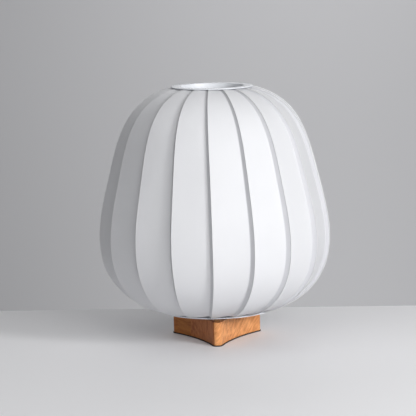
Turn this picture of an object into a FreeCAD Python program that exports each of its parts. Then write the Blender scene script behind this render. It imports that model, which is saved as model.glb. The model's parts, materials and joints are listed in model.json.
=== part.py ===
import FreeCAD, Part
import os
from math import acos, atan2, cos, degrees, radians, sin, tan

os.makedirs("parts", exist_ok=True)

Vector = FreeCAD.Vector
Rotation = FreeCAD.Rotation
UP = Vector(0, 0, 1)
ORIGIN = Vector(0, 0, 0)

# A table lamp: a round shade of eighteen folded paper strips on a three-cornered wooden block.
# The origin is on the table under the middle of the shade, -Y faces the viewer and +X is to the right.
# All sizes are in millimetres and all angles in degrees.

# ---------------------------------------------------------------- clearances
GLUE_GAP = 0.35             # between a strip and what it is glued to
LOOSE_FIT = 0.25            # round screws, nuts and pieces that drop in
RUNNING_FIT = 0.08          # round the bulb's screw shell

# ---------------------------------------------------------------- wooden base
BLOCK_HEIGHT = 39.0
TIP_DISTANCE = 78.4         # from the axis to the centre of each rounded tip
TIP_ROUND = 8.0             # radius of each rounded tip
BLOCK_WAIST = 39.2          # from the axis to the middle of each hollow side
PAD_THICKNESS = 2.0
PAD_MARGIN = 1.2            # how far the pad stands proud of the block
POCKET_RADIUS = 23.0
POCKET_DEPTH = 17.0
PLATE_RADIUS = 31.0
PLATE_THICKNESS = 4.0

# ---------------------------------------------------------------- cord inlet
INLET_BORE = 3.3
INLET_SLEEVE = 5.6
INLET_FLANGE = 7.6
INLET_FLANGE_THICKNESS = 1.6
INLET_LENGTH = 11.0
INLET_HEIGHT = 11.0         # of its axis above the underside of the block

# ---------------------------------------------------------------- stem
STEM_RADIUS = 5.0
STEM_BORE = 3.6
STEM_LENGTH = 140.0
STEM_TAIL = 7.5             # how far the stem reaches down into the pocket
NUT_FLATS = 14.0
NUT_THICKNESS = 4.0
WASHER_RADIUS = 9.0
WASHER_THICKNESS = 1.2

# ---------------------------------------------------------------- rings
SPACER_HEIGHT = 9.0         # the shadow gap between the block and the shade
SPACER_RADIUS = 5.0
BOTTOM_RING_INNER = 70.0
RING_THICKNESS = 1.6
TOP_RING_RADIUS = 70.0
TOP_OPENING_RADIUS = 55.0
COLLAR_DEPTH = 14.0
RING_SCREW_RADIUS = 1.9
RING_SCREW_HEAD = 3.8
RING_SCREW_HEAD_HEIGHT = 2.4
RING_SCREW_LENGTH = 28.0

# ---------------------------------------------------------------- shade outline, along the strip edges
HEM_RADIUS = 99.0
FLANK_RADIUS = 151.5
FLANK_RISE = 23.6           # rises are measured from the top of the bottom ring
HAUNCH_RADIUS = 190.0
HAUNCH_RISE = 73.8
BELLY_RADIUS = 200.0
BELLY_RISE = 127.0
WAIST_RADIUS = 181.1
WAIST_DROP = 147.9          # drops are measured from the underside of the top ring
SHOULDER_RADIUS = 129.6
SHOULDER_DROP = 31.2
CROWN_RADIUS = 68.5
SHADE_RISE = 383.4

# ---------------------------------------------------------------- folded strips
STRIPS = 18
PAPER = 0.8
PLEAT_DEPTH = 6.6           # of the valley behind the line between two strip edges, at the belly
PLEAT_RETURN = 6.6          # width of the narrow face that comes back up to the next strip
PLEAT_TAPER = 0.9           # how quickly the pleat shrinks with the strip's width
VALLEY_ROUND = 3.0
LIP_WIDTH = 5.0             # glued flap behind the next strip
LIP_TUCK = 0.6
FIRST_EDGE = -1.3           # azimuth of the first strip edge at the belly
SWAY_PLACE = 0.30           # share of the edge's length at which it stands furthest round
HEM_SWAY = 4.6              # how far the edges trail at the hem
CROWN_SWAY = 3.5            # and at the crown
END_ALLOWANCE = 15.0        # extra length at each end, trimmed where the strip meets its ring
STATIONS = 15               # cross-sections along one strip
VALLEY_FACETS = 1           # flats round the valley
SEWING = 1e-4

# ---------------------------------------------------------------- lampholder
HOLDER_RADIUS = 20.5
HOLDER_WALL = 3.0
CAP_HEIGHT = 16.0
CAP_FLOOR = 2.0
HUB_RADIUS = 8.5
HUB_HEIGHT = 8.0
BODY_HEIGHT = 32.0
MOUTH_LIP = 2.0
INSERT_LEDGE = 2.0          # how far the cap's rim reaches in under the insert
INSERT_HEIGHT = 10.0
INSERT_RECESS = 3.0
SHELL_WALL = 0.5
CONTACT_RADIUS = 4.0
CONTACT_HEIGHT = 2.4

# ---------------------------------------------------------------- bulb
BULB_SCREW_RADIUS = 13.25
BULB_SCREW_LENGTH = 17.5
BULB_CONTACT_RADIUS = 4.8
BULB_CONTACT_HEIGHT = 1.5
BULB_INSULATOR_HEIGHT = 5.0
BULB_COLLAR_RADIUS = 14.6
BULB_RADIUS = 30.0
BULB_HOUSING_LENGTH = 34.0
BULB_DOME_LENGTH = 52.0
BULB_GLASS = 1.2
BULB_BANDS = 5              # flats up the housing and up the dome
BULB_SIDES = 24             # and round them
BULB_CROWN = 4.0            # radius of the flat at the top of the dome

# ---------------------------------------------------------------- places that follow from the sizes
block_bottom = PAD_THICKNESS
block_top = block_bottom + BLOCK_HEIGHT
pocket_ceiling = block_bottom + POCKET_DEPTH
ring_bottom = block_top + SPACER_HEIGHT
ring_top = ring_bottom + RING_THICKNESS
flange_bottom = ring_top + SHADE_RISE
flange_top = flange_bottom + RING_THICKNESS
stem_bottom = pocket_ceiling - STEM_TAIL
stem_top = stem_bottom + STEM_LENGTH
cap_bottom = stem_top - CAP_FLOOR
cap_top = cap_bottom + CAP_HEIGHT
insert_top = cap_top + INSERT_HEIGHT
body_top = cap_top + BODY_HEIGHT
shell_radius = BULB_SCREW_RADIUS + RUNNING_FIT
bulb_bottom = insert_top + CONTACT_HEIGHT + RUNNING_FIT
pitch = 360.0 / STRIPS
tip_azimuths = [0.0, 120.0, 240.0]


def toward(azimuth, distance, height=0.0):
    """A point at an azimuth counted from the front (-Y) towards the right (+X)."""
    angle = radians(azimuth)
    return Vector(distance * sin(angle), -distance * cos(angle), height)


def disc(radius, bottom, top, bore=0.0, centre=ORIGIN):
    """An upright cylinder, with a bore where one is given."""
    base = Vector(centre.x, centre.y, bottom)
    solid = Part.makeCylinder(radius, top - bottom, base, UP)
    if bore > 0.0:
        solid = solid.cut(Part.makeCylinder(bore, top - bottom, base, UP))
    return solid


def turned(outline):
    """A solid of revolution from (radius, height) corners listed round its section."""
    corners = [Vector(radius, 0, height) for radius, height in outline]
    return Part.Face(Part.makePolygon(corners + corners[:1])).revolve(ORIGIN, UP, 360)


def closed_skin(corners, facets):
    """A solid bounded by flat three-cornered facets."""
    skin = Part.Shape()
    skin.makeShapeFromMesh((corners, facets), SEWING)
    solid = Part.Solid(Part.Shell(skin.Faces))
    if solid.Volume < 0:
        solid.reverse()
    return solid


def save(name, *solids):
    shape = solids[0] if len(solids) == 1 else Part.makeCompound(list(solids))
    shape.exportStep("parts/" + name + ".step")
    return shape


# ---------------------------------------------------------------- wooden base

def three_cornered(tip_round, waist):
    """Outline with three rounded tips and three hollow sides, each side tangent to both its tips."""
    half_side = TIP_DISTANCE * sin(radians(60))
    offset = waist - TIP_DISTANCE * cos(radians(60))
    side_radius = (offset ** 2 + half_side ** 2 - tip_round ** 2) / (2 * (tip_round - offset))
    edges = []
    for azimuth in tip_azimuths:
        tip = toward(azimuth, TIP_DISTANCE)
        before = toward(azimuth - 60, waist + side_radius)
        after = toward(azimuth + 60, waist + side_radius)
        next_tip = toward(azimuth + 120, TIP_DISTANCE)
        start = tip + (before - tip).normalize() * tip_round
        end = tip + (after - tip).normalize() * tip_round
        landing = next_tip + (after - next_tip).normalize() * tip_round
        edges.append(Part.Arc(start, toward(azimuth, TIP_DISTANCE + tip_round), end).toShape())
        edges.append(Part.Arc(end, toward(azimuth + 60, waist), landing).toShape())
    return Part.Face(Part.Wire(edges))


def block_prism(tip_round, waist, bottom, top):
    face = three_cornered(tip_round, waist)
    face.translate(Vector(0, 0, bottom))
    return face.extrude(Vector(0, 0, top - bottom))


def inlet_axis():
    return Vector(0, 0, block_bottom + INLET_HEIGHT)


def pan_screw(place, seat, clearance=0.0):
    """A wood screw driven downwards, with its round head on the seat."""
    shank = disc(RING_SCREW_RADIUS + clearance, seat - RING_SCREW_LENGTH - clearance, seat, centre=place)
    head = disc(RING_SCREW_HEAD, seat, seat + RING_SCREW_HEAD_HEIGHT, centre=place)
    return head.fuse(shank)


def base_block():
    block = block_prism(TIP_ROUND, BLOCK_WAIST, block_bottom, block_top)
    block = block.cut(disc(POCKET_RADIUS, block_bottom, pocket_ceiling))
    block = block.cut(disc(PLATE_RADIUS + LOOSE_FIT, block_bottom, block_bottom + PLATE_THICKNESS))
    block = block.cut(disc(STEM_RADIUS + LOOSE_FIT, pocket_ceiling, block_top))
    block = block.cut(Part.makeCylinder(INLET_SLEEVE + GLUE_GAP, BLOCK_WAIST + TIP_ROUND,
                                        inlet_axis(), Vector(0, 1, 0)))
    for place in ring_screw_places():
        block = block.cut(pan_screw(place, ring_top, GLUE_GAP))
    return block


def cord_bushing():
    """A flanged sleeve in the back of the block, with its axis along Y."""
    face = BLOCK_WAIST + LOOSE_FIT
    backwards = Vector(0, 1, 0)
    start = inlet_axis() + Vector(0, face - INLET_LENGTH, 0)
    sleeve = Part.makeCylinder(INLET_SLEEVE, INLET_LENGTH, start, backwards)
    flange = Part.makeCylinder(INLET_FLANGE, INLET_FLANGE_THICKNESS, inlet_axis() + Vector(0, face, 0), backwards)
    bore = Part.makeCylinder(INLET_BORE, INLET_LENGTH + INLET_FLANGE_THICKNESS, start, backwards)
    return sleeve.fuse(flange).cut(bore)


# ---------------------------------------------------------------- stem and rings

def hex_nut(bottom):
    corner = NUT_FLATS / 2 / cos(radians(30))
    corners = [toward(60 * side, corner, bottom) for side in range(7)]
    blank = Part.Face(Part.makePolygon(corners)).extrude(Vector(0, 0, NUT_THICKNESS))
    return blank.cut(disc(STEM_RADIUS + RUNNING_FIT, bottom, bottom + NUT_THICKNESS))


def washer(bottom):
    return disc(WASHER_RADIUS, bottom, bottom + WASHER_THICKNESS, STEM_RADIUS + RUNNING_FIT)


def ring_screw_places():
    return [toward(azimuth, TIP_DISTANCE) for azimuth in tip_azimuths]


def bottom_ring():
    """A flat ring that the strips stand on, screwed down through the spacers."""
    ring = disc(HEM_RADIUS, ring_bottom, ring_top, BOTTOM_RING_INNER)
    for place in ring_screw_places():
        ring = ring.cut(disc(RING_SCREW_RADIUS + GLUE_GAP, ring_bottom, ring_top, centre=place))
    return ring


def top_ring():
    """A flat ring over the strips, with a deep collar round the opening."""
    collar = TOP_OPENING_RADIUS + RING_THICKNESS
    return turned([(TOP_OPENING_RADIUS, flange_top), (TOP_OPENING_RADIUS, flange_top - COLLAR_DEPTH),
                   (collar, flange_top - COLLAR_DEPTH), (collar, flange_bottom),
                   (TOP_RING_RADIUS, flange_bottom), (TOP_RING_RADIUS, flange_top)])


# ---------------------------------------------------------------- shade

def edge_curve():
    """The curve that every strip's outer edge follows, as radius and height."""
    points = [(HEM_RADIUS, 0.0), (FLANK_RADIUS, FLANK_RISE), (HAUNCH_RADIUS, HAUNCH_RISE),
              (BELLY_RADIUS, BELLY_RISE), (WAIST_RADIUS, SHADE_RISE - WAIST_DROP),
              (SHOULDER_RADIUS, SHADE_RISE - SHOULDER_DROP), (CROWN_RADIUS, SHADE_RISE)]
    curve = Part.BSplineCurve()
    curve.interpolate([Vector(radius, 0, ring_top + rise) for radius, rise in points])
    return curve


def station(curve, distance):
    """The point and the direction of the edge curve at a distance along it, straight past its ends."""
    length = curve.length()
    inside = min(max(distance, 0.0), length)
    parameter = curve.parameterAtDistance(inside, curve.FirstParameter)
    direction = curve.tangent(parameter)[0]
    return curve.value(parameter) + direction * (distance - inside), direction


def sway(share):
    """How far the strip edges trail behind the belly, in degrees, at a share of their length."""
    if share < SWAY_PLACE:
        return -HEM_SWAY * ((SWAY_PLACE - share) / SWAY_PLACE) ** 2
    return -CROWN_SWAY * ((share - SWAY_PLACE) / (1 - SWAY_PLACE)) ** 2


def meeting(point, direction, other, other_direction):
    """Where two lines in the section plane cross."""
    cross = direction.x * other_direction.y - direction.y * other_direction.x
    gap = other - point
    reach = (gap.x * other_direction.y - gap.y * other_direction.x) / cross
    return point + direction * reach


def rounded(corner, before, after, radius):
    """Points along the arc of a radius that rounds the corner between two unit directions."""
    turn = acos(max(-1.0, min(1.0, before.dot(after))))
    reach = radius * tan(turn / 2)
    middle = corner + (after - before).normalize() * (radius / cos(turn / 2) - radius)
    arc = Part.Arc(corner - before * reach, middle, corner + after * reach)
    steps = [arc.FirstParameter + (arc.LastParameter - arc.FirstParameter) * step / VALLEY_FACETS
             for step in range(VALLEY_FACETS + 1)]
    return [arc.value(parameter) for parameter in steps]


def fold_section(chord, belly_chord, upright):
    """The front and back of one strip's section: wide face, valley, narrow return face and glued lip.

    The section's X runs from this strip's edge to the next one and its Y points outwards."""
    size = (chord / belly_chord) ** PLEAT_TAPER
    edge = Vector(0, 0, 0)
    valley = Vector(chord - PLEAT_RETURN * size, -PLEAT_DEPTH * size, 0)
    face = (valley - edge).normalize()
    lean = radians(pitch) * upright + atan2(-face.y, face.x)
    along = Vector(cos(lean), -sin(lean), 0)
    inwards = Vector(-sin(lean), -cos(lean), 0)
    ridge = Vector(chord, 0, 0) + inwards * (PAPER + GLUE_GAP) + along * LIP_TUCK
    back = (ridge - valley).normalize()
    lip_end = ridge + along * LIP_WIDTH

    behind = [Vector(line.y, -line.x, 0) * PAPER for line in (face, back, along)]
    inner_valley = meeting(edge + behind[0], face, valley + behind[1], back)
    inner_ridge = meeting(valley + behind[1], back, ridge + behind[2], along)
    radius = VALLEY_ROUND * size
    front = [edge] + rounded(valley, face, back, radius) + [ridge, lip_end]
    rear = [edge + behind[0]] + rounded(inner_valley, face, back, radius + PAPER)
    return front, rear + [inner_ridge, lip_end + behind[2]]


def strip_section(curve, distance):
    """The fold section set on the line between two neighbouring strip edges."""
    length = curve.length()
    point, direction = station(curve, distance)
    azimuth = FIRST_EDGE + sway(distance / length)
    half = radians(pitch / 2)
    outwards = toward(azimuth + pitch / 2, direction.z, -direction.x)
    sideways = UP.cross(toward(azimuth + pitch / 2, 1.0))
    turn = Rotation(sideways, outwards, sideways.cross(outwards), "XYZ")
    place = FreeCAD.Placement(toward(azimuth, point.x, point.z), turn)
    front, rear = fold_section(2 * point.x * sin(half), 2 * BELLY_RADIUS * sin(half), max(direction.z, 0.0))
    return [place.multVec(corner) for corner in front + rear[::-1]]


def folded_sheet(sections):
    """A closed sheet of flat facets through sections that each list the front, then the back reversed."""
    count = len(sections[0])
    quads = []
    for row in range(len(sections) - 1):
        for column in range(count):
            after = (column + 1) % count
            quads.append(((row, column), (row, after), (row + 1, after), (row + 1, column)))
    for column in range(count // 2 - 1):
        cap = [column, column + 1, count - 2 - column, count - 1 - column]
        quads.append(tuple((0, place) for place in reversed(cap)))
        quads.append(tuple((len(sections) - 1, place) for place in cap))
    corners = [corner for section in sections for corner in section]
    facets = []
    for quad in quads:
        one, two, three, four = [row * count + column for row, column in quad]
        facets += [(one, two, three), (one, three, four)]
    return closed_skin(corners, facets)


def strip_room():
    """The room for a strip: between the two rings and outside the flat that faces the top ring's collar."""
    reach = BELLY_RADIUS * 2
    collar = TOP_OPENING_RADIUS + RING_THICKNESS + GLUE_GAP
    room = Part.makeBox(reach * 2, reach, SHADE_RISE - GLUE_GAP * 2,
                        Vector(-reach, -reach - collar, ring_top + GLUE_GAP))
    return room.rotated(ORIGIN, UP, FIRST_EDGE + sway(1.0) + pitch / 2)


def first_strip():
    """One strip folded along the edge curve and trimmed where it meets the two rings."""
    curve = edge_curve()
    length = curve.length()
    distances = [-END_ALLOWANCE] + [length * place / (STATIONS - 1) for place in range(STATIONS)]
    distances.append(length + END_ALLOWANCE)
    strip = folded_sheet([strip_section(curve, distance) for distance in distances])
    return strip.common(strip_room())


# ---------------------------------------------------------------- lampholder and bulb

def holder_cap():
    """A cup with a threaded hub that screws on the stem."""
    cup = disc(HOLDER_RADIUS, cap_bottom, cap_top)
    cup = cup.cut(disc(HOLDER_RADIUS - HOLDER_WALL - INSERT_LEDGE, stem_top, cap_top))
    cup = cup.fuse(disc(HUB_RADIUS, cap_bottom - HUB_HEIGHT, cap_bottom))
    return cup.cut(disc(STEM_RADIUS + RUNNING_FIT, cap_bottom - HUB_HEIGHT, stem_top))


def holder_body():
    """The sleeve round the insert, closed in at the mouth to a lip."""
    inside = HOLDER_RADIUS - HOLDER_WALL
    mouth = shell_radius + SHELL_WALL + LOOSE_FIT
    return turned([(inside, cap_top), (HOLDER_RADIUS, cap_top), (HOLDER_RADIUS, body_top), (mouth, body_top),
                   (mouth, body_top - MOUTH_LIP), (inside, body_top - MOUTH_LIP)])


def holder_insert():
    """The ceramic core, with a recess under it for the wiring."""
    core = disc(HOLDER_RADIUS - HOLDER_WALL - LOOSE_FIT, cap_top, insert_top)
    return core.cut(disc(HUB_RADIUS, cap_top, cap_top + INSERT_RECESS))


def bulb_heights():
    """The levels between the bulb's contact, insulator, screw shell, housing and dome."""
    insulator = bulb_bottom + BULB_CONTACT_HEIGHT
    screw = insulator + BULB_INSULATOR_HEIGHT
    housing = screw + BULB_SCREW_LENGTH
    dome = housing + BULB_HOUSING_LENGTH
    return insulator, screw, housing, dome


def flat_sided(outline):
    """An upright turning with flat sides, from (radius, height) corners listed upwards."""
    corners = [toward(360 * side / BULB_SIDES, radius, height)
               for radius, height in outline for side in range(BULB_SIDES)]
    top = BULB_SIDES * (len(outline) - 1)
    facets = [(0, side + 1, side) for side in range(1, BULB_SIDES - 1)]
    facets += [(top, top + side, top + side + 1) for side in range(1, BULB_SIDES - 1)]
    for row in range(0, top, BULB_SIDES):
        for side in range(BULB_SIDES):
            near, far = row + side, row + (side + 1) % BULB_SIDES
            facets += [(near, far, far + BULB_SIDES), (near, far + BULB_SIDES, near + BULB_SIDES)]
    return closed_skin(corners, facets).removeSplitter()


def bulb_insulator():
    bottom, top = bulb_heights()[:2]
    return flat_sided([(BULB_CONTACT_RADIUS, bottom), (BULB_SCREW_RADIUS - SHELL_WALL, top)])


def bulb_housing():
    """The body that widens from the screw shell to the dome."""
    bottom = bulb_heights()[2]
    flare = BULB_RADIUS - BULB_COLLAR_RADIUS
    steps = [step / BULB_BANDS for step in range(BULB_BANDS + 1)]
    return flat_sided([(BULB_COLLAR_RADIUS + flare * sin(radians(90 * step)) ** 2,
                        bottom + BULB_HOUSING_LENGTH * step) for step in steps])


def dome_block(radius, crown):
    """A solid dome on a short upright wall, flattened at the crown to the given radius."""
    bottom = bulb_heights()[3]
    springing = bottom + BULB_DOME_LENGTH - BULB_RADIUS
    last = degrees(acos(crown / radius))
    angles = [radians(last * step / BULB_BANDS) for step in range(BULB_BANDS + 1)]
    return flat_sided([(radius, bottom)] + [(radius * cos(angle), springing + radius * sin(angle))
                                            for angle in angles])


def bulb_dome():
    """The opal dome, a thin glass shell over the housing."""
    return dome_block(BULB_RADIUS, BULB_CROWN).cut(dome_block(BULB_RADIUS - BULB_GLASS, BULB_CROWN))


# ---------------------------------------------------------------- the pieces

parts = {}


def piece(name, *solids):
    parts[name] = save(name, *solids)


piece("base_pad", block_prism(TIP_ROUND + PAD_MARGIN, BLOCK_WAIST + PAD_MARGIN, 0.0, PAD_THICKNESS))
piece("base_block", base_block())
piece("base_plate", disc(PLATE_RADIUS, block_bottom, block_bottom + PLATE_THICKNESS))
piece("cord_bushing", cord_bushing())

piece("stem_tube", disc(STEM_RADIUS, stem_bottom, stem_top, STEM_BORE))
piece("stem_washers", washer(pocket_ceiling - WASHER_THICKNESS), washer(block_top))
piece("stem_nuts", hex_nut(pocket_ceiling - WASHER_THICKNESS - NUT_THICKNESS), hex_nut(block_top + WASHER_THICKNESS))

piece("ring_spacers", *[disc(SPACER_RADIUS, block_top, ring_bottom, centre=place).cut(
    disc(RING_SCREW_RADIUS + GLUE_GAP, block_top, ring_bottom, centre=place)) for place in ring_screw_places()])
piece("bottom_ring", bottom_ring())
piece("ring_screws", *[pan_screw(place, ring_top) for place in ring_screw_places()])
piece("top_ring", top_ring())

strip = first_strip()
for number in range(STRIPS):
    piece("shade_strip_%02d" % (number + 1), strip.rotated(ORIGIN, UP, pitch * number))

piece("holder_cap", holder_cap())
piece("holder_insert", holder_insert())
piece("thread_shell", disc(shell_radius + SHELL_WALL, insert_top, body_top, shell_radius))
piece("centre_contact", disc(CONTACT_RADIUS, insert_top, insert_top + CONTACT_HEIGHT))
piece("holder_body", holder_body())

insulator_bottom, screw_bottom, housing_bottom, dome_bottom = bulb_heights()
piece("bulb_contact", disc(BULB_CONTACT_RADIUS, bulb_bottom, insulator_bottom))
piece("bulb_insulator", bulb_insulator())
piece("bulb_screw_shell", disc(BULB_SCREW_RADIUS, screw_bottom, housing_bottom))
piece("bulb_housing", bulb_housing())
piece("bulb_dome", bulb_dome())

print("pieces", len(parts), "solids", sum(len(shape.Solids) for shape in parts.values()))
for name, shape in parts.items():
    if not shape.isValid():
        print("not valid:", name)
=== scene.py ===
import json, math, random
import bpy, bmesh
import numpy as np
from mathutils import Matrix, Vector


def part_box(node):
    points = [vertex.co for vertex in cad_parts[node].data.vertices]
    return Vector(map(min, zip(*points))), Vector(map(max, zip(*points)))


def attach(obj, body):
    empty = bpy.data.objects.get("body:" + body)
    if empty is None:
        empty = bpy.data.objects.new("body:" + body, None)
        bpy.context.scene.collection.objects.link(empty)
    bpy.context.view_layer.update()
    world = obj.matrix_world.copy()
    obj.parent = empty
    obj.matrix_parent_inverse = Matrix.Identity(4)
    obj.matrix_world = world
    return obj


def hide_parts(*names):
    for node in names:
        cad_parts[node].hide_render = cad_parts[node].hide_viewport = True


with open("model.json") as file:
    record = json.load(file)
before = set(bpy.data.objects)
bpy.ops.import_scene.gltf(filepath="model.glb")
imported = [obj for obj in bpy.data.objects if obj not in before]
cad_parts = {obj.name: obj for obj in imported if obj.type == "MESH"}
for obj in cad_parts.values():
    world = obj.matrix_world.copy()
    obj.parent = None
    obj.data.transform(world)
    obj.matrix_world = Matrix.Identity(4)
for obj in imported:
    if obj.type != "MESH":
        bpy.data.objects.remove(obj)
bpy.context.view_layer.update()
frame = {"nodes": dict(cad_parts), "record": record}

luck = random.Random(18)
upAxis = Vector((0, 0, 1))


def aroundAxis(azimuth, distance, height=0.0):
    # azimuth counts from the front tip, -Y, towards +X
    angle = math.radians(azimuth)
    return Vector((distance * math.sin(angle), -distance * math.cos(angle), height))


# camera at the photograph's viewing angle
camera = {"target": (-0.0111, 0.0, 0.2257), "distance": 3.341, "elevation": 8.11, "roll": -1.3,
          "lens": 167.7, "farLimit": 60}


def placeCamera():
    data = bpy.data.cameras.new("photoCamera")
    data.lens = camera["lens"]
    data.clip_end = camera["farLimit"]
    seen = bpy.data.objects.new("photoCamera", data)
    bpy.context.scene.collection.objects.link(seen)
    rise = math.radians(camera["elevation"])
    back = Vector((0, -math.cos(rise), math.sin(rise)))
    turn = (-back).to_track_quat("-Z", "Y").to_matrix().to_4x4()
    roll = Matrix.Rotation(math.radians(camera["roll"]), 4, "Z")
    seen.matrix_world = Matrix.Translation(Vector(camera["target"]) + back * camera["distance"]) @ turn @ roll
    bpy.context.scene.camera = seen


placeCamera()
print("camera placed")


# materials
def addNode(tree, kind, settings=None, **inputs):
    node = tree.nodes.new(kind)
    for name, value in (settings or {}).items():
        setattr(node, name, value)
    for name, value in inputs.items():
        socket = node.inputs[name.replace("_", " ")]
        if isinstance(value, bpy.types.NodeSocket):
            tree.links.new(value, socket)
        else:
            socket.default_value = value
    return node


def newGroup(name, takes, gives):
    tree = bpy.data.node_groups.new(name, "ShaderNodeTree")
    for label, kind, value in takes:
        socket = tree.interface.new_socket(name=label, in_out="INPUT", socket_type=kind)
        socket.default_value = value
    for label, kind in gives:
        tree.interface.new_socket(name=label, in_out="OUTPUT", socket_type=kind)
    return tree, tree.nodes.new("NodeGroupInput"), tree.nodes.new("NodeGroupOutput")


def mixColours(tree, blend, factor, one, two):
    node = tree.nodes.new("ShaderNodeMix")
    node.data_type = "RGBA"
    node.blend_type = blend
    for socket, value in ((node.inputs[0], factor), (node.inputs[6], one), (node.inputs[7], two)):
        if isinstance(value, bpy.types.NodeSocket):
            tree.links.new(value, socket)
        else:
            socket.default_value = value
    return node.outputs[2]


def maths(tree, operation, one, two=0.0, three=None):
    node = tree.nodes.new("ShaderNodeMath")
    node.operation = operation
    values = (one, two) if three is None else (one, two, three)
    for socket, value in zip(node.inputs, values):
        if isinstance(value, bpy.types.NodeSocket):
            tree.links.new(value, socket)
        else:
            socket.default_value = value
    return node.outputs[0]


mottleLook = {"blotchShare": 0.7, "speckShare": 0.3, "contrast": 4.0}


def buildMottle():
    # soft blotches, fine specks and a fine bump, for paper, plastic, metal and rubber alike
    tree, taken, given = newGroup("mottle", [
        ("Colour", "NodeSocketColor", (0.8, 0.8, 0.8, 1)), ("Blotch Size", "NodeSocketFloat", 0.02),
        ("Speck Size", "NodeSocketFloat", 0.001), ("Colour Change", "NodeSocketFloat", 0.05),
        ("Roughness", "NodeSocketFloat", 0.5), ("Roughness Change", "NodeSocketFloat", 0.1),
        ("Bump Height", "NodeSocketFloat", 0.00005)],
        [("Colour", "NodeSocketColor"), ("Roughness", "NodeSocketFloat"), ("Normal", "NodeSocketVector")])
    place = addNode(tree, "ShaderNodeTexCoord").outputs["Object"]
    blotch = addNode(tree, "ShaderNodeTexNoise", Vector=place, Detail=3.0,
                     Scale=maths(tree, "DIVIDE", 1.0, taken.outputs["Blotch Size"])).outputs["Fac"]
    speck = addNode(tree, "ShaderNodeTexNoise", Vector=place, Detail=4.0, Roughness=0.65,
                    Scale=maths(tree, "DIVIDE", 1.0, taken.outputs["Speck Size"])).outputs["Fac"]
    both = maths(tree, "MULTIPLY_ADD", blotch, mottleLook["blotchShare"],
                 maths(tree, "MULTIPLY", speck, mottleLook["speckShare"]))
    change = maths(tree, "MULTIPLY", maths(tree, "SUBTRACT", both, 0.5), taken.outputs["Colour Change"])
    lift = maths(tree, "ADD", 1.0, maths(tree, "MULTIPLY", change, mottleLook["contrast"]))
    grey = addNode(tree, "ShaderNodeCombineColor", Red=lift, Green=lift, Blue=lift).outputs[0]
    colour = mixColours(tree, "MULTIPLY", 1.0, taken.outputs["Colour"], grey)
    rough = maths(tree, "MULTIPLY_ADD", maths(tree, "SUBTRACT", both, 0.5), taken.outputs["Roughness Change"],
                  taken.outputs["Roughness"])
    height = maths(tree, "MULTIPLY", speck, taken.outputs["Bump Height"])
    bump = addNode(tree, "ShaderNodeBump", Height=height, Strength=1.0, Distance=1.0).outputs[0]
    tree.links.new(colour, given.inputs["Colour"])
    tree.links.new(rough, given.inputs["Roughness"])
    tree.links.new(bump, given.inputs["Normal"])
    return tree


mottle = buildMottle()


def startMaterial(name, **shader):
    material = bpy.data.materials.new(name)
    material.use_nodes = True
    tree = material.node_tree
    principled = tree.nodes["Principled BSDF"]
    for label, value in shader.items():
        principled.inputs[label.replace("_", " ")].default_value = value
    return material, tree, principled


def mottled(tree, principled, look):
    group = tree.nodes.new("ShaderNodeGroup")
    group.node_tree = mottle
    for label, value in look.items():
        group.inputs[label].default_value = value
    for label, socket in (("Colour", "Base Color"), ("Roughness", "Roughness"), ("Normal", "Normal")):
        tree.links.new(group.outputs[label], principled.inputs[socket])
    return group


def plainFinish(name, colour, roughness, blotch=0.02, speck=0.0008, change=0.05, bump=0.00003, **shader):
    material, tree, principled = startMaterial(name, **shader)
    mottled(tree, principled, {"Colour": (*colour, 1), "Blotch Size": blotch, "Speck Size": speck,
                               "Colour Change": change, "Roughness": roughness, "Roughness Change": 0.15,
                               "Bump Height": bump})
    return material


# the fold colour is painted shade for each pleat's valley and return face
paperLook = {"colour": (0.85, 0.855, 0.88), "foldShadeTone": (0.85, 0.85, 0.865), "roughness": 0.52,
             "edge": (0.93, 0.93, 0.94), "edgeHighlightWidth": 0.0012,
             "through": 0.27, "throughColour": (0.95, 0.95, 0.94),
             "fibre": 0.0006, "fibreStretch": 5.0, "fibreHeight": 0.00001,
             "cockle": 0.035, "cockleHeight": 0.00035}


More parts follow.
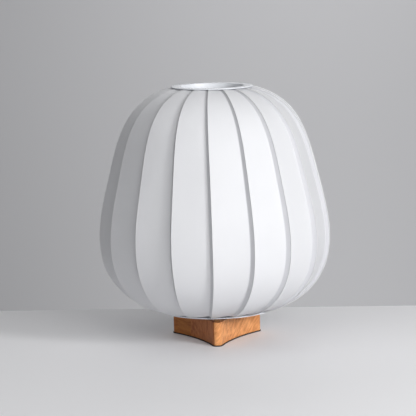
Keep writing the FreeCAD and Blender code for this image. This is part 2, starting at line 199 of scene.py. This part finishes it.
def foldedPaper():
    # fibres run along the strip, and the sheet cockles a little between its folds
    material, tree, principled = startMaterial("foldedPaper", Specular_IOR_Level=0.35)
    group = mottled(tree, principled, {
        "Colour": (*paperLook["colour"], 1), "Blotch Size": 0.04, "Speck Size": 0.0012,
        "Colour Change": 0.012, "Roughness": paperLook["roughness"], "Roughness Change": 0.12,
        "Bump Height": 0.00002})
    strip = addNode(tree, "ShaderNodeUVMap", {"uv_map": "stripPlace"}).outputs[0]
    stretch = addNode(tree, "ShaderNodeMapping", Vector=strip,
                      Scale=(1 / paperLook["fibre"], 1 / paperLook["fibre"] / paperLook["fibreStretch"], 1))
    fibre = addNode(tree, "ShaderNodeTexNoise", Vector=stretch.outputs[0], Scale=1.0,
                    Detail=3.0).outputs["Fac"]
    cockle = addNode(tree, "ShaderNodeTexNoise", Vector=strip, Detail=1.0,
                     Scale=1 / paperLook["cockle"]).outputs["Fac"]
    fine = maths(tree, "MULTIPLY", fibre, paperLook["fibreHeight"])
    height = maths(tree, "MULTIPLY_ADD", cockle, paperLook["cockleHeight"], fine)
    bump = addNode(tree, "ShaderNodeBump", Height=height, Strength=1.0, Distance=1.0,
                   Normal=group.outputs["Normal"]).outputs[0]
    tree.links.new(bump, principled.inputs["Normal"])
    # painted highlight: a lighter band along each strip's proud edge, where the edge catches the light
    across = addNode(tree, "ShaderNodeSeparateXYZ", Vector=strip).outputs[0]
    edgeHighlightMask = addNode(tree, "ShaderNodeMapRange", Value=across, From_Min=0.0, From_Max=paperLook["edgeHighlightWidth"],
                  To_Min=1.0, To_Max=0.0).outputs[0]
    colour = mixColours(tree, "MIX", edgeHighlightMask, group.outputs["Colour"], (*paperLook["edge"], 1))
    # painted shade: the valley and return face of each pleat are darkened by the fold colour
    paintedFoldShade = addNode(tree, "ShaderNodeAttribute", {"attribute_name": "paintedFoldShade"}).outputs["Fac"]
    colour = mixColours(tree, "MULTIPLY", paintedFoldShade, colour, (*paperLook["foldShadeTone"], 1))
    tree.links.new(colour, principled.inputs["Base Color"])
    # some light comes through the sheet, which keeps the inside from going black
    lit = addNode(tree, "ShaderNodeBsdfTranslucent", Color=(*paperLook["throughColour"], 1))
    sheet = addNode(tree, "ShaderNodeMixShader", Fac=paperLook["through"])
    tree.links.new(principled.outputs[0], sheet.inputs[1])
    tree.links.new(lit.outputs[0], sheet.inputs[2])
    tree.links.new(sheet.outputs[0], tree.nodes["Material Output"].inputs["Surface"])
    return material


woodLook = {"light": (0.81, 0.375, 0.148), "dark": (0.50, 0.185, 0.057), "pore": (0.30, 0.10, 0.03),
            "ringWidth": 0.0085, "bandWidth": 0.0065, "streakWidth": 0.0012, "poreWidth": 0.0003,
            "waverScale": 16.0, "waver": 0.022, "drawnOut": 0.06, "growthChange": 2.0,
            "lateShare": 0.30, "streakShare": 0.5, "bandShare": 2.3, "bandShift": -0.90, "poreShare": 0.4,
            "poreDepth": 0.00006, "lateHeight": 0.00002, "roughness": 0.42, "poreRoughness": 0.25,
            "staves": [
                {"grain": (0.665, 0.279, 0.692), "pith": (0.076, 0.053, -0.05), "toneAndShade": (1, 1, 1),
                 "leftOf": 1.0},
                # painted shade: the zones left of the front tip are darkened, since the block's left side
                # faces away from the light
                {"grain": (0.40, 0.20, 0.89), "pith": (0.02, 0.06, 0.05), "toneAndShade": (0.60, 0.46, 0.38),
                 "leftOf": -0.0055},
                {"grain": (0.49, -0.86, -0.12), "pith": (-0.09, 0.02, 0.12), "toneAndShade": (0.60, 0.48, 0.28),
                 "leftOf": -0.0455}]}


def buildGrain():
    # growth rings round a pith along the vector's Z, with bands, streaks and pores drawn out along it
    tree, taken, given = newGroup("woodGrain", [
        ("Vector", "NodeSocketVector", (0, 0, 0)), ("Light", "NodeSocketColor", (0.8, 0.4, 0.2, 1)),
        ("Dark", "NodeSocketColor", (0.5, 0.2, 0.1, 1)), ("Pore", "NodeSocketColor", (0.3, 0.1, 0.05, 1)),
        ("Ring Width", "NodeSocketFloat", 0.005), ("Band Width", "NodeSocketFloat", 0.005),
        ("Streak Width", "NodeSocketFloat", 0.001), ("Pore Width", "NodeSocketFloat", 0.0003)],
        [("Colour", "NodeSocketColor"), ("Pores", "NodeSocketFloat"), ("Height", "NodeSocketFloat")])
    place = taken.outputs["Vector"]
    waver = addNode(tree, "ShaderNodeTexNoise", Vector=place, Detail=2.0,
                    Scale=woodLook["waverScale"]).outputs["Color"]
    swing = addNode(tree, "ShaderNodeVectorMath", {"operation": "MULTIPLY_ADD"})
    tree.links.new(waver, swing.inputs[0])
    swing.inputs[1].default_value = (woodLook["waver"], woodLook["waver"], 0.0)
    tree.links.new(place, swing.inputs[2])
    apart = addNode(tree, "ShaderNodeSeparateXYZ", Vector=swing.outputs[0])
    reach = maths(tree, "SQRT", maths(tree, "ADD", maths(tree, "POWER", apart.outputs[0], 2.0),
                                      maths(tree, "POWER", apart.outputs[1], 2.0)))
    years = maths(tree, "DIVIDE", reach, taken.outputs["Ring Width"])
    growth = addNode(tree, "ShaderNodeTexNoise", {"noise_dimensions": "1D"}, W=years, Scale=0.7,
                     Detail=1.0).outputs["Fac"]
    rings = maths(tree, "FRACT", maths(tree, "MULTIPLY_ADD", growth, woodLook["growthChange"], years))
    late = addNode(tree, "ShaderNodeMapRange", {"interpolation_type": "SMOOTHSTEP"}, Value=rings,
                   From_Min=0.2, From_Max=0.9).outputs[0]
    drop = addNode(tree, "ShaderNodeMapRange", {"interpolation_type": "SMOOTHSTEP"}, Value=rings,
                   From_Min=0.88, From_Max=1.0, To_Min=1.0, To_Max=0.0).outputs[0]
    late = maths(tree, "MULTIPLY", late, drop)
    drawn = addNode(tree, "ShaderNodeVectorMath", {"operation": "MULTIPLY"})
    tree.links.new(swing.outputs[0], drawn.inputs[0])
    drawn.inputs[1].default_value = (1.0, 1.0, woodLook["drawnOut"])
    bands = addNode(tree, "ShaderNodeTexNoise", Vector=drawn.outputs[0], Detail=2.0,
                    Scale=maths(tree, "DIVIDE", 1.0, taken.outputs["Band Width"])).outputs["Fac"]
    streaks = addNode(tree, "ShaderNodeTexNoise", Vector=drawn.outputs[0], Detail=2.0,
                      Scale=maths(tree, "DIVIDE", 1.0, taken.outputs["Streak Width"])).outputs["Fac"]
    pores = addNode(tree, "ShaderNodeTexNoise", Vector=drawn.outputs[0], Detail=1.0,
                    Scale=maths(tree, "DIVIDE", 1.0, taken.outputs["Pore Width"])).outputs["Fac"]
    pores = addNode(tree, "ShaderNodeMapRange", Value=pores, From_Min=0.60, From_Max=0.72).outputs[0]
    depth = maths(tree, "MULTIPLY_ADD", streaks, woodLook["streakShare"], -0.5 * woodLook["streakShare"])
    depth = maths(tree, "MULTIPLY_ADD", late, woodLook["lateShare"], depth)
    banding = maths(tree, "MULTIPLY_ADD", bands, woodLook["bandShare"], woodLook["bandShift"])
    depth = maths(tree, "ADD", depth, banding)
    depth = addNode(tree, "ShaderNodeClamp", Value=depth).outputs[0]
    colour = mixColours(tree, "MIX", depth, taken.outputs["Light"], taken.outputs["Dark"])
    poreTone = maths(tree, "MULTIPLY", pores, woodLook["poreShare"])
    colour = mixColours(tree, "MIX", poreTone, colour, taken.outputs["Pore"])
    height = maths(tree, "MULTIPLY_ADD", pores, -woodLook["poreDepth"],
                   maths(tree, "MULTIPLY", late, woodLook["lateHeight"]))
    tree.links.new(colour, given.inputs["Colour"])
    tree.links.new(pores, given.inputs["Pores"])
    tree.links.new(height, given.inputs["Height"])
    return tree


grain = buildGrain()


def oiledWood(name, shadeDarkening=1.0):
    # three grain zones glued edge to edge, each with its own grain; the two on the block's left side are
    # darkened as painted shade, since that side faces away from the light, and the leftmost is also a golden
    # stave
    material, tree, principled = startMaterial(name, Specular_IOR_Level=0.25)
    place = addNode(tree, "ShaderNodeTexCoord").outputs["Object"]
    sideways = addNode(tree, "ShaderNodeSeparateXYZ", Vector=place).outputs[0]
    colour, pores, height = (0, 0, 0, 1), 0.0, 0.0
    for stave in woodLook["staves"]:
        turn = Vector(stave["grain"]).to_track_quat("Z", "Y").inverted().to_euler()
        away = addNode(tree, "ShaderNodeVectorMath", {"operation": "SUBTRACT"})
        tree.links.new(place, away.inputs[0])
        away.inputs[1].default_value = stave["pith"]
        log = addNode(tree, "ShaderNodeMapping", Vector=away.outputs[0], Rotation=turn)
        group = tree.nodes.new("ShaderNodeGroup")
        group.node_tree = grain
        tree.links.new(log.outputs[0], group.inputs["Vector"])
        for label in ("Light", "Dark", "Pore"):
            group.inputs[label].default_value = (*(value * shadeDarkening for value in woodLook[label.lower()]), 1)
        for label, key in (("Ring Width", "ringWidth"), ("Band Width", "bandWidth"),
                           ("Streak Width", "streakWidth"), ("Pore Width", "poreWidth")):
            group.inputs[label].default_value = woodLook[key]
        here = maths(tree, "LESS_THAN", sideways, stave["leftOf"])
        toned = mixColours(tree, "MULTIPLY", 1.0, group.outputs["Colour"], (*stave["toneAndShade"], 1))
        colour = mixColours(tree, "MIX", here, colour, toned)
        deeper = maths(tree, "SUBTRACT", group.outputs["Pores"], pores)
        pores = maths(tree, "MULTIPLY_ADD", here, deeper, pores)
        higher = maths(tree, "SUBTRACT", group.outputs["Height"], height)
        height = maths(tree, "MULTIPLY_ADD", here, higher, height)
    tree.links.new(colour, principled.inputs["Base Color"])
    rough = maths(tree, "MULTIPLY_ADD", pores, woodLook["poreRoughness"], woodLook["roughness"])
    tree.links.new(rough, principled.inputs["Roughness"])
    bump = addNode(tree, "ShaderNodeBump", Height=height, Strength=1.0, Distance=1.0).outputs[0]
    tree.links.new(bump, principled.inputs["Normal"])
    return material


finishes = {
    "shade_paper": foldedPaper(),
    "wood": oiledWood("oiledWood"),
    "pad": plainFinish("darkFoam", (0.022, 0.017, 0.016), 0.85, speck=0.0006, change=0.12, bump=0.0001),
    "steel": plainFinish("rolledSteel", (0.42, 0.42, 0.43), 0.45, change=0.08, Metallic=1.0),
    "black_nylon": plainFinish("blackNylon", (0.022, 0.021, 0.02), 0.5, change=0.08),
    "zinc": plainFinish("zincPlate", (0.60, 0.61, 0.62), 0.32, change=0.06, Metallic=1.0),
    "ring_white": plainFinish("whiteRing", (0.76, 0.78, 0.82), 0.42, change=0.012, bump=0.00001),
    "holder_white": plainFinish("whiteHolder", (0.80, 0.80, 0.78), 0.25, change=0.02, bump=0.00001),
    "ceramic": plainFinish("glazedCeramic", (0.82, 0.80, 0.75), 0.2, change=0.03),
    "brass": plainFinish("plainBrass", (0.68, 0.48, 0.20), 0.3, change=0.06, Metallic=1.0),
    "bulb_shell": plainFinish("brightShell", (0.75, 0.76, 0.77), 0.22, change=0.04, Metallic=1.0),
    "bulb_black": plainFinish("blackInsulator", (0.018, 0.018, 0.018), 0.3, change=0.05),
    "bulb_white": plainFinish("bulbHousing", (0.80, 0.80, 0.80), 0.35, change=0.015),
    "bulb_opal": plainFinish("opalGlass", (0.86, 0.86, 0.84), 0.28, change=0.01, bump=0.0, Coat_Weight=0.3),
}
# painted shade: the spacers' wood is darkened, as they stand in the shadow between block and ring
ownFinish = {"ring_spacers": oiledWood("shadowedSpacerWood", shadeDarkening=0.4)}
slotOf = {entry["node"]: entry["material_slot"] for entry in frame["record"]["subparts"]}
bodyOf = {node: body for body, nodes in frame["record"]["behaviour"]["bodies"].items() for node in nodes}
for name, node in frame["nodes"].items():
    node.data.materials.clear()
    node.data.materials.append(ownFinish.get(name, finishes[slotOf[name]]))
print("materials ready")


def finishPiece(name, mesh, node, smoothAngle=35.0):
    # every new piece stands for one node, and takes its body, slot and finish from it
    bmesh.ops.recalc_face_normals(mesh, faces=mesh.faces)
    mesh.edges.index_update()
    openEdges = [edge.index for edge in mesh.edges if edge.is_boundary]
    data = bpy.data.meshes.new(name)
    mesh.to_mesh(data)
    mesh.free()
    for face in data.polygons:
        face.use_smooth = True
    data.set_sharp_from_angle(angle=math.radians(smoothAngle))
    for edge in openEdges:
        data.edges[edge].use_edge_sharp = True
    data.materials.append(ownFinish.get(node, finishes[slotOf[node]]))
    piece = bpy.data.objects.new(name, data)
    bpy.context.scene.collection.objects.link(piece)
    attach(piece, bodyOf[node])
    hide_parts(node)
    return piece


bevelAngle = 40


def sharpEdges(mesh):
    limit = math.radians(bevelAngle)
    return [edge for edge in mesh.edges if len(edge.link_faces) == 2 and edge.calc_face_angle() > limit]


def softenedNode(node, rounding, segments=2):
    # a merged copy of a CAD node with its sharp edges broken, as a sander or a mould leaves them
    mesh = bmesh.new()
    mesh.from_mesh(frame["nodes"][node].data)
    bmesh.ops.remove_doubles(mesh, verts=mesh.verts, dist=1e-6)
    bmesh.ops.dissolve_limit(mesh, angle_limit=math.radians(1.0), verts=mesh.verts, edges=mesh.edges)
    bmesh.ops.bevel(mesh, geom=sharpEdges(mesh), offset=rounding, affect="EDGES", segments=segments,
                    profile=0.5, material=-1, clamp_overlap=True)
    finishPiece(node + "_soft", mesh, node)


def spunPiece(name, node, section, steps, rounding):
    # a closed section of (radius, height) corners, spun round the lamp's axis, with its edges rounded
    mesh = bmesh.new()
    corners = [mesh.verts.new((radius, 0, height)) for radius, height in section]
    edges = [mesh.edges.new((corners[place - 1], corners[place])) for place in range(len(corners))]
    bmesh.ops.spin(mesh, geom=corners + edges, cent=(0, 0, 0), axis=upAxis, angle=math.tau, steps=steps,
                   use_merge=True)
    bmesh.ops.remove_doubles(mesh, verts=mesh.verts, dist=1e-6)
    bmesh.ops.recalc_face_normals(mesh, faces=mesh.faces)
    bmesh.ops.bevel(mesh, geom=sharpEdges(mesh), offset=rounding, affect="EDGES", segments=2,
                    profile=0.5, material=-1, clamp_overlap=True)
    finishPiece(name, mesh, node)


# wooden base
base = {"base_block": {"rounding": 0.0007, "segments": 3}, "base_pad": {"rounding": 0.0004},
        "base_plate": {"rounding": 0.0003}, "cord_bushing": {"rounding": 0.0004}}
for node, edges in base.items():
    softenedNode(node, **edges)
print("base done")

# rings
ring = {"thickness": 0.0016, "opening": 0.055, "hemOpening": 0.070, "rounding": 0.0003, "steps": 160}


def makeRings():
    low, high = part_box("bottom_ring")
    opening = ring["hemOpening"]
    flat = [(opening, low.z), (high.x, low.z), (high.x, high.z), (opening, high.z)]
    spunPiece("bottomRing", "bottom_ring", flat, ring["steps"], ring["rounding"])
    low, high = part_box("top_ring")
    opening, collar, under = ring["opening"], ring["opening"] + ring["thickness"], high.z - ring["thickness"]
    flanged = [(opening, high.z), (opening, low.z), (collar, low.z), (collar, under), (high.x, under),
               (high.x, high.z)]
    spunPiece("topRing", "top_ring", flanged, ring["steps"], ring["rounding"])


makeRings()
print("rings done")

# folded strips
shade = {"strips": 18, "paper": 0.0008, "gap": 0.00035,
         "outline": [(0.099, 0.0), (0.1515, 0.0236), (0.190, 0.0738), (0.200, 0.127), (0.1811, 0.2355),
                     (0.1296, 0.3522), (0.0685, 0.3834)],
         "hemSlope": (0.987, 0.161), "crownSlope": (-0.984, 0.178), "endAllowance": 0.015, "belly": 0.200,
         "outlineSpots": 600, "slopeStep": 1 / 400,
         "pleatDepth": 0.0066, "pleatReturn": 0.0066, "pleatTaper": 0.9, "valleyRound": 0.003,
         "lip": 0.0046, "tuck": 0.0006,
         "firstEdge": -1.3, "swayPlace": 0.30, "hemSway": 4.6, "crownSway": 3.5,
         "faceColumns": 8, "valleyColumns": 8, "backColumns": 3, "lipColumns": 2, "rows": 96,
         "foldStart": 0.4, "edgeDrift": 0.0004, "edgeSwell": 0.0002, "faceBow": 0.0004, "bowWaves": 1.3,
         "insidePoint": (0, 0, 0.25)}
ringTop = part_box("bottom_ring")[1].z
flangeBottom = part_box("top_ring")[1].z - ring["thickness"]


def splineThrough(points, firstSlope, lastSlope):
    # a cubic through the points that leaves and arrives along the given directions
    points = np.array(points)
    spans = np.linalg.norm(np.diff(points, axis=0), axis=1)
    knots = np.concatenate([[0.0], np.cumsum(spans)])
    count = len(points)
    system, wanted = np.zeros((count, count)), np.zeros((count, 2))
    system[0, 0] = system[-1, -1] = 1.0
    wanted[0], wanted[-1] = firstSlope, lastSlope
    for place in range(1, count - 1):
        before, after = spans[place - 1], spans[place]
        system[place, place - 1:place + 2] = after, 2 * (before + after), before
        rise = (points[place] - points[place - 1]) / before * after
        wanted[place] = 3 * (rise + (points[place + 1] - points[place]) / after * before)
    slopes = np.linalg.solve(system, wanted)

    def spotAt(distance):
        place = int(np.clip(np.searchsorted(knots, distance) - 1, 0, count - 2))
        span = spans[place]
        share = (distance - knots[place]) / span
        one, two = points[place], points[place + 1]
        leave, arrive = slopes[place] * span, slopes[place + 1] * span
        return (one * (1 + 2 * share) * (1 - share) ** 2 + leave * share * (1 - share) ** 2
                + two * share ** 2 * (3 - 2 * share) - arrive * share ** 2 * (1 - share))

    return spotAt, knots[-1]


def outlineTable():
    # the strip edge walked in small steps: the length so far, and the radius and rise there
    spotAt, last = splineThrough(shade["outline"], shade["hemSlope"], shade["crownSlope"])
    spots = np.array([spotAt(distance) for distance in np.linspace(0, last, shade["outlineSpots"])])
    lengths = np.concatenate([[0.0], np.cumsum(np.linalg.norm(np.diff(spots, axis=0), axis=1))])
    return lengths, spots


edgeLengths, edgeSpots = outlineTable()


def tableSpot(length):
    return Vector([float(np.interp(length, edgeLengths, edgeSpots[:, axis])) for axis in (0, 1)])


def edgeStation(length):
    # radius, height and direction at a length along the edge, straight past its ends
    whole = edgeLengths[-1]
    inside = min(max(length, 0.0), whole)
    step = whole * shade["slopeStep"]
    near, far = max(inside - step, 0.0), min(inside + step, whole)
    direction = (tableSpot(far) - tableSpot(near)).normalized()
    spot = tableSpot(inside) + direction * (length - inside)
    return spot.x, ringTop + spot.y, direction


def edgeSway(share):
    # how far the edges trail behind the belly, in degrees
    if share < shade["swayPlace"]:
        return -shade["hemSway"] * ((shade["swayPlace"] - share) / shade["swayPlace"]) ** 2
    return -shade["crownSway"] * ((share - shade["swayPlace"]) / (1 - shade["swayPlace"])) ** 2


drifts = [[luck.uniform(-1, 1) for wave in range(4)] for edge in range(shade["strips"])]


def edgeSpot(edge, length):
    # one strip edge in space, with the small drift that folding by hand leaves
    share = length / edgeLengths[-1]
    radius, height, direction = edgeStation(length)
    lean, sway, start, swell = drifts[edge % shade["strips"]]
    wander = lean * math.sin(math.pi * share) + sway * math.sin(math.tau * share + start)
    drift = shade["edgeDrift"] * wander
    pitch = 360 / shade["strips"]
    azimuth = shade["firstEdge"] + pitch * edge + edgeSway(share) + math.degrees(drift / radius)
    radius += shade["edgeSwell"] * swell * math.sin(math.pi * share) ** 2
    return aroundAxis(azimuth, radius, height), azimuth, direction


def foldLine(chord, upright, bellyChord):
    # the outer face of one section: wide face, rounded valley, narrow return face and tucked lip
    size = (chord / bellyChord) ** shade["pleatTaper"]
    valley = Vector((chord - shade["pleatReturn"] * size, -shade["pleatDepth"] * size))
    face = valley.normalized()
    lean = math.radians(360 / shade["strips"]) * upright + math.atan2(-face.y, face.x)
    along = Vector((math.cos(lean), -math.sin(lean)))
    inwards = Vector((-math.sin(lean), -math.cos(lean)))
    ridge = Vector((chord, 0)) + inwards * (shade["paper"] + shade["gap"]) + along * shade["tuck"]
    back = (ridge - valley).normalized()
    turn = math.acos(max(-1.0, min(1.0, face.dot(back))))
    radius = shade["valleyRound"] * size
    reach = radius * math.tan(turn / 2)
    start = valley - face * reach
    centre = start + Vector((-face.y, face.x)) * radius
    spots = [start * (place / shade["faceColumns"]) for place in range(shade["faceColumns"])]
    for place in range(shade["valleyColumns"]):
        angle = turn * place / shade["valleyColumns"]
        spots.append(centre + Matrix.Rotation(angle, 2) @ (start - centre))
    end = valley + back * reach
    spots += [end.lerp(ridge, place / shade["backColumns"]) for place in range(shade["backColumns"])]
    tip = ridge + along * shade["lip"]
    spots += [ridge.lerp(tip, place / shade["lipColumns"]) for place in range(shade["lipColumns"] + 1)]
    return spots


def sectionSpots(strip, length, bellyChord):
    # the section plane holds this strip's edge and the next one's
    near, azimuth, direction = edgeSpot(strip, length)
    far, nextAzimuth = edgeSpot(strip + 1, length)[:2]
    sideways = (far - near).normalized()
    middle = (azimuth + nextAzimuth) / 2
    outwards = aroundAxis(middle, direction.y, -direction.x)
    outwards = (outwards - sideways * outwards.dot(sideways)).normalized()
    line = foldLine((far - near).length, max(direction.y, 0.0), bellyChord)
    share = length / edgeLengths[-1]
    start, swell = drifts[strip % shade["strips"]][:2]
    bow = shade["faceBow"] * (swell + math.sin(math.tau * (shade["bowWaves"] * share + start)))
    spots = []
    for column, spot in enumerate(line):
        lift = bow * math.sin(math.pi * min(column / shade["faceColumns"], 1.0))
        spots.append(near + sideways * spot.x + outwards * (spot.y + lift))
    return spots, line


def makeStrip(strip):
    columns = shade["faceColumns"] + shade["valleyColumns"] + shade["backColumns"] + shade["lipColumns"]
    rows = shade["rows"]
    mesh = bmesh.new()
    bmesh.ops.create_grid(mesh, x_segments=columns, y_segments=rows, size=1.0)
    bellyChord = 2 * shade["belly"] * math.sin(math.pi / shade["strips"])
    first, last = -shade["endAllowance"], edgeLengths[-1] + shade["endAllowance"]
    lengths = [first + (last - first) * row / rows for row in range(rows + 1)]
    sections = [sectionSpots(strip, length, bellyChord) for length in lengths]
    places = {}
    # painted shade: the paper is darkened from the middle of the valley over the return face and lip, where
    # the pleat's shadow falls
    paintedFoldShade = mesh.verts.layers.float.new("paintedFoldShade")
    foldFrom = shade["faceColumns"] + shade["foldStart"] * shade["valleyColumns"]
    foldTo = shade["faceColumns"] + shade["valleyColumns"]
    for corner in mesh.verts:
        column = round((corner.co.x + 1) / 2 * columns)
        row = round((corner.co.y + 1) / 2 * rows)
        places[corner] = (column, row)
        corner.co = sections[row][0][column]
        corner[paintedFoldShade] = min(max((column - foldFrom) / (foldTo - foldFrom), 0.0), 1.0)
    across = [0.0]
    middle = sections[rows // 2][1]
    for one, two in zip(middle, middle[1:]):
        across.append(across[-1] + (two - one).length)
    layer = mesh.loops.layers.uv.new("stripPlace")
    for face in mesh.faces:
        for loop in face.loops:
            column, row = places[loop.vert]
            loop[layer].uv = (across[column], lengths[row] + strip)
    trimStrip(mesh, strip)
    number = "%02d" % (strip + 1)
    piece = finishPiece("foldedStrip" + number, mesh, "shade_strip_" + number, smoothAngle=50)
    sample = piece.data.polygons[0]
    if sample.normal.dot(sample.center - Vector(shade["insidePoint"])) < 0:
        piece.data.flip_normals()
    thicken = piece.modifiers.new("paper", "SOLIDIFY")
    thicken.thickness = shade["paper"]
    thicken.offset = -1
    thicken.use_even_offset = True


def trimStrip(mesh, strip):
    # cut square against the two rings and flat against the top ring's collar
    collar = ring["opening"] + ring["thickness"] + shade["gap"]
    azimuth = shade["firstEdge"] - shade["crownSway"] + 360 / shade["strips"] * (strip + 0.5)
    cuts = [(Vector((0, 0, ringTop + shade["gap"])), Vector((0, 0, -1))),
            (Vector((0, 0, flangeBottom - shade["gap"])), Vector((0, 0, 1))),
            (aroundAxis(azimuth, collar), -aroundAxis(azimuth, 1.0))]
    for point, outside in cuts:
        geometry = mesh.verts[:] + mesh.edges[:] + mesh.faces[:]
        bmesh.ops.bisect_plane(mesh, geom=geometry, plane_co=point, plane_no=outside, clear_outer=True)


for strip in range(shade["strips"]):
    makeStrip(strip)
print("strips folded")

# bulb
bulb = {"radius": 0.030, "steps": 64, "domeSteps": 12}


def makeDome():
    low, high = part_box("bulb_dome")
    radius, springing = bulb["radius"], high.z - bulb["radius"]
    mesh = bmesh.new()
    corners = [mesh.verts.new((radius, 0, low.z)), mesh.verts.new((radius, 0, springing))]
    edges = [mesh.edges.new(corners)]
    bmesh.ops.spin(mesh, geom=corners[1:], cent=(0, 0, springing), axis=(0, -1, 0), angle=math.pi / 2,
                   steps=bulb["domeSteps"])
    bmesh.ops.spin(mesh, geom=mesh.verts[:] + mesh.edges[:], cent=(0, 0, 0), axis=upAxis, angle=math.tau,
                   steps=bulb["steps"], use_merge=True)
    bmesh.ops.remove_doubles(mesh, verts=mesh.verts, dist=1e-5)
    rim = [edge for edge in mesh.edges if len(edge.link_faces) == 1]
    bmesh.ops.edgeloop_fill(mesh, edges=rim)
    finishPiece("opalDome", mesh, "bulb_dome", smoothAngle=40)


makeDome()

# fittings
fittings = {"rounding": 0.00025,
            "nodes": ("holder_cap", "holder_body", "holder_insert", "thread_shell", "centre_contact",
                      "stem_nuts", "stem_washers", "ring_spacers", "ring_screws", "bulb_screw_shell",
                      "bulb_contact")}
for node in fittings["nodes"]:
    softenedNode(node, fittings["rounding"])
print("holder and bulb done")

# floor and backdrop
table = {"colour": (0.84, 0.84, 0.855), "roughness": 0.6, "gloss": 0.15, "reach": 0.95, "backEdge": 0.257,
         "edgeSlope": -0.0513, "thickness": 0.03, "rounding": 0.002}
wall = {"colour": (0.715, 0.715, 0.735), "roughness": 0.8, "gloss": 0.3, "distance": 3.8, "height": 1.0,
        "size": 6.0}


def plainSurface(name, look):
    material, tree, principled = startMaterial(name, Specular_IOR_Level=look["gloss"])
    mottled(tree, principled, {
        "Colour": (*look["colour"], 1), "Blotch Size": 0.3, "Speck Size": 0.003, "Colour Change": 0.004,
        "Roughness": look["roughness"], "Roughness Change": 0.05, "Bump Height": 0.00001})
    return material


def stageObject(name, mesh, look):
    data = bpy.data.meshes.new(name)
    mesh.to_mesh(data)
    mesh.free()
    data.materials.append(plainSurface(name, look))
    thing = bpy.data.objects.new(name, data)
    bpy.context.scene.collection.objects.link(thing)


def makeTable():
    # a pale board whose back edge crosses the picture behind the lamp
    mesh = bmesh.new()
    bmesh.ops.create_cube(mesh, size=1.0)
    for corner in mesh.verts:
        side = corner.co.x * 2 * table["reach"]
        back = table["backEdge"] + table["edgeSlope"] * side
        corner.co = (side, back if corner.co.y > 0 else -table["reach"],
                     0.0 if corner.co.z > 0 else -table["thickness"])
    bmesh.ops.bevel(mesh, geom=mesh.edges[:], offset=table["rounding"], affect="EDGES", segments=3,
                    profile=0.5, material=-1)
    stageObject("paleTable", mesh, table)


def makeWall():
    mesh = bmesh.new()
    place = Matrix.Translation((0, wall["distance"], wall["height"]))
    upright = Matrix.Rotation(math.radians(90), 4, "X")
    bmesh.ops.create_grid(mesh, x_segments=1, y_segments=1, size=wall["size"], matrix=place @ upright)
    stageObject("paleWall", mesh, wall)


makeTable()
makeWall()

# light, mostly from the right in front of the lamp
lampMiddle = (0, 0, 0.22)
lights = {
    "key": {"power": 39.5, "size": (0.5, 0.65), "azimuth": 49.0, "distance": 2.8, "height": 1.15},
    "wideKey": {"power": 46.5, "size": (2.2, 0.9), "azimuth": 28.0, "distance": 2.8, "height": 1.15},
    "overhead": {"power": 8.6, "size": (1.9, 1.9), "azimuth": -30.0, "distance": 0.45, "height": 2.2},
    "fill": {"power": 6.7, "size": (1.6, 1.6), "azimuth": -35.0, "distance": 2.8, "height": 0.9},
    "back": {"power": 15.0, "size": (3.2, 0.8), "azimuth": 185.0, "distance": 2.4, "height": 1.6},
    "wallUpper": {"power": 10.4, "size": (0.9, 0.9), "azimuth": 168.9, "distance": 2.344, "height": 1.25,
                  "aim": (0.4, 3.8, 0.1)},
    "wallLower": {"power": 6.8, "size": (0.9, 0.7), "azimuth": 168.9, "distance": 2.344, "height": -1.15,
                  "aim": (0.4, 3.8, -0.3)}}
surround = {"colour": (0.97, 0.98, 1.0), "strength": 0.09, "seen": 0.42}


def softLight(name, power, size, azimuth, distance, height, aim=lampMiddle):
    data = bpy.data.lights.new(name, "AREA")
    data.shape = "RECTANGLE"
    data.energy = power
    data.size, data.size_y = size
    light = bpy.data.objects.new(name, data)
    light.location = aroundAxis(azimuth, distance, height)
    light.rotation_euler = (Vector(aim) - light.location).to_track_quat("-Z", "Y").to_euler()
    bpy.context.scene.collection.objects.link(light)


for name, light in lights.items():
    softLight(name, **light)


def paleWorld():
    # a dim surround that camera and mirror rays see as a pale backdrop
    world = bpy.data.worlds.new("paleWorld")
    bpy.context.scene.world = world
    world.use_nodes = True
    tree = world.node_tree
    rays = addNode(tree, "ShaderNodeLightPath").outputs
    seen = maths(tree, "MAXIMUM", rays["Is Camera Ray"],
                 maths(tree, "MAXIMUM", rays["Is Glossy Ray"], rays["Is Transmission Ray"]))
    more = surround["seen"] - surround["strength"]
    strength = maths(tree, "MULTIPLY_ADD", seen, more, surround["strength"])
    background = tree.nodes["Background"]
    background.inputs["Color"].default_value = (*surround["colour"], 1)
    tree.links.new(strength, background.inputs["Strength"])


paleWorld()
bpy.context.scene.view_settings.view_transform = "Standard"
print("studio lit")
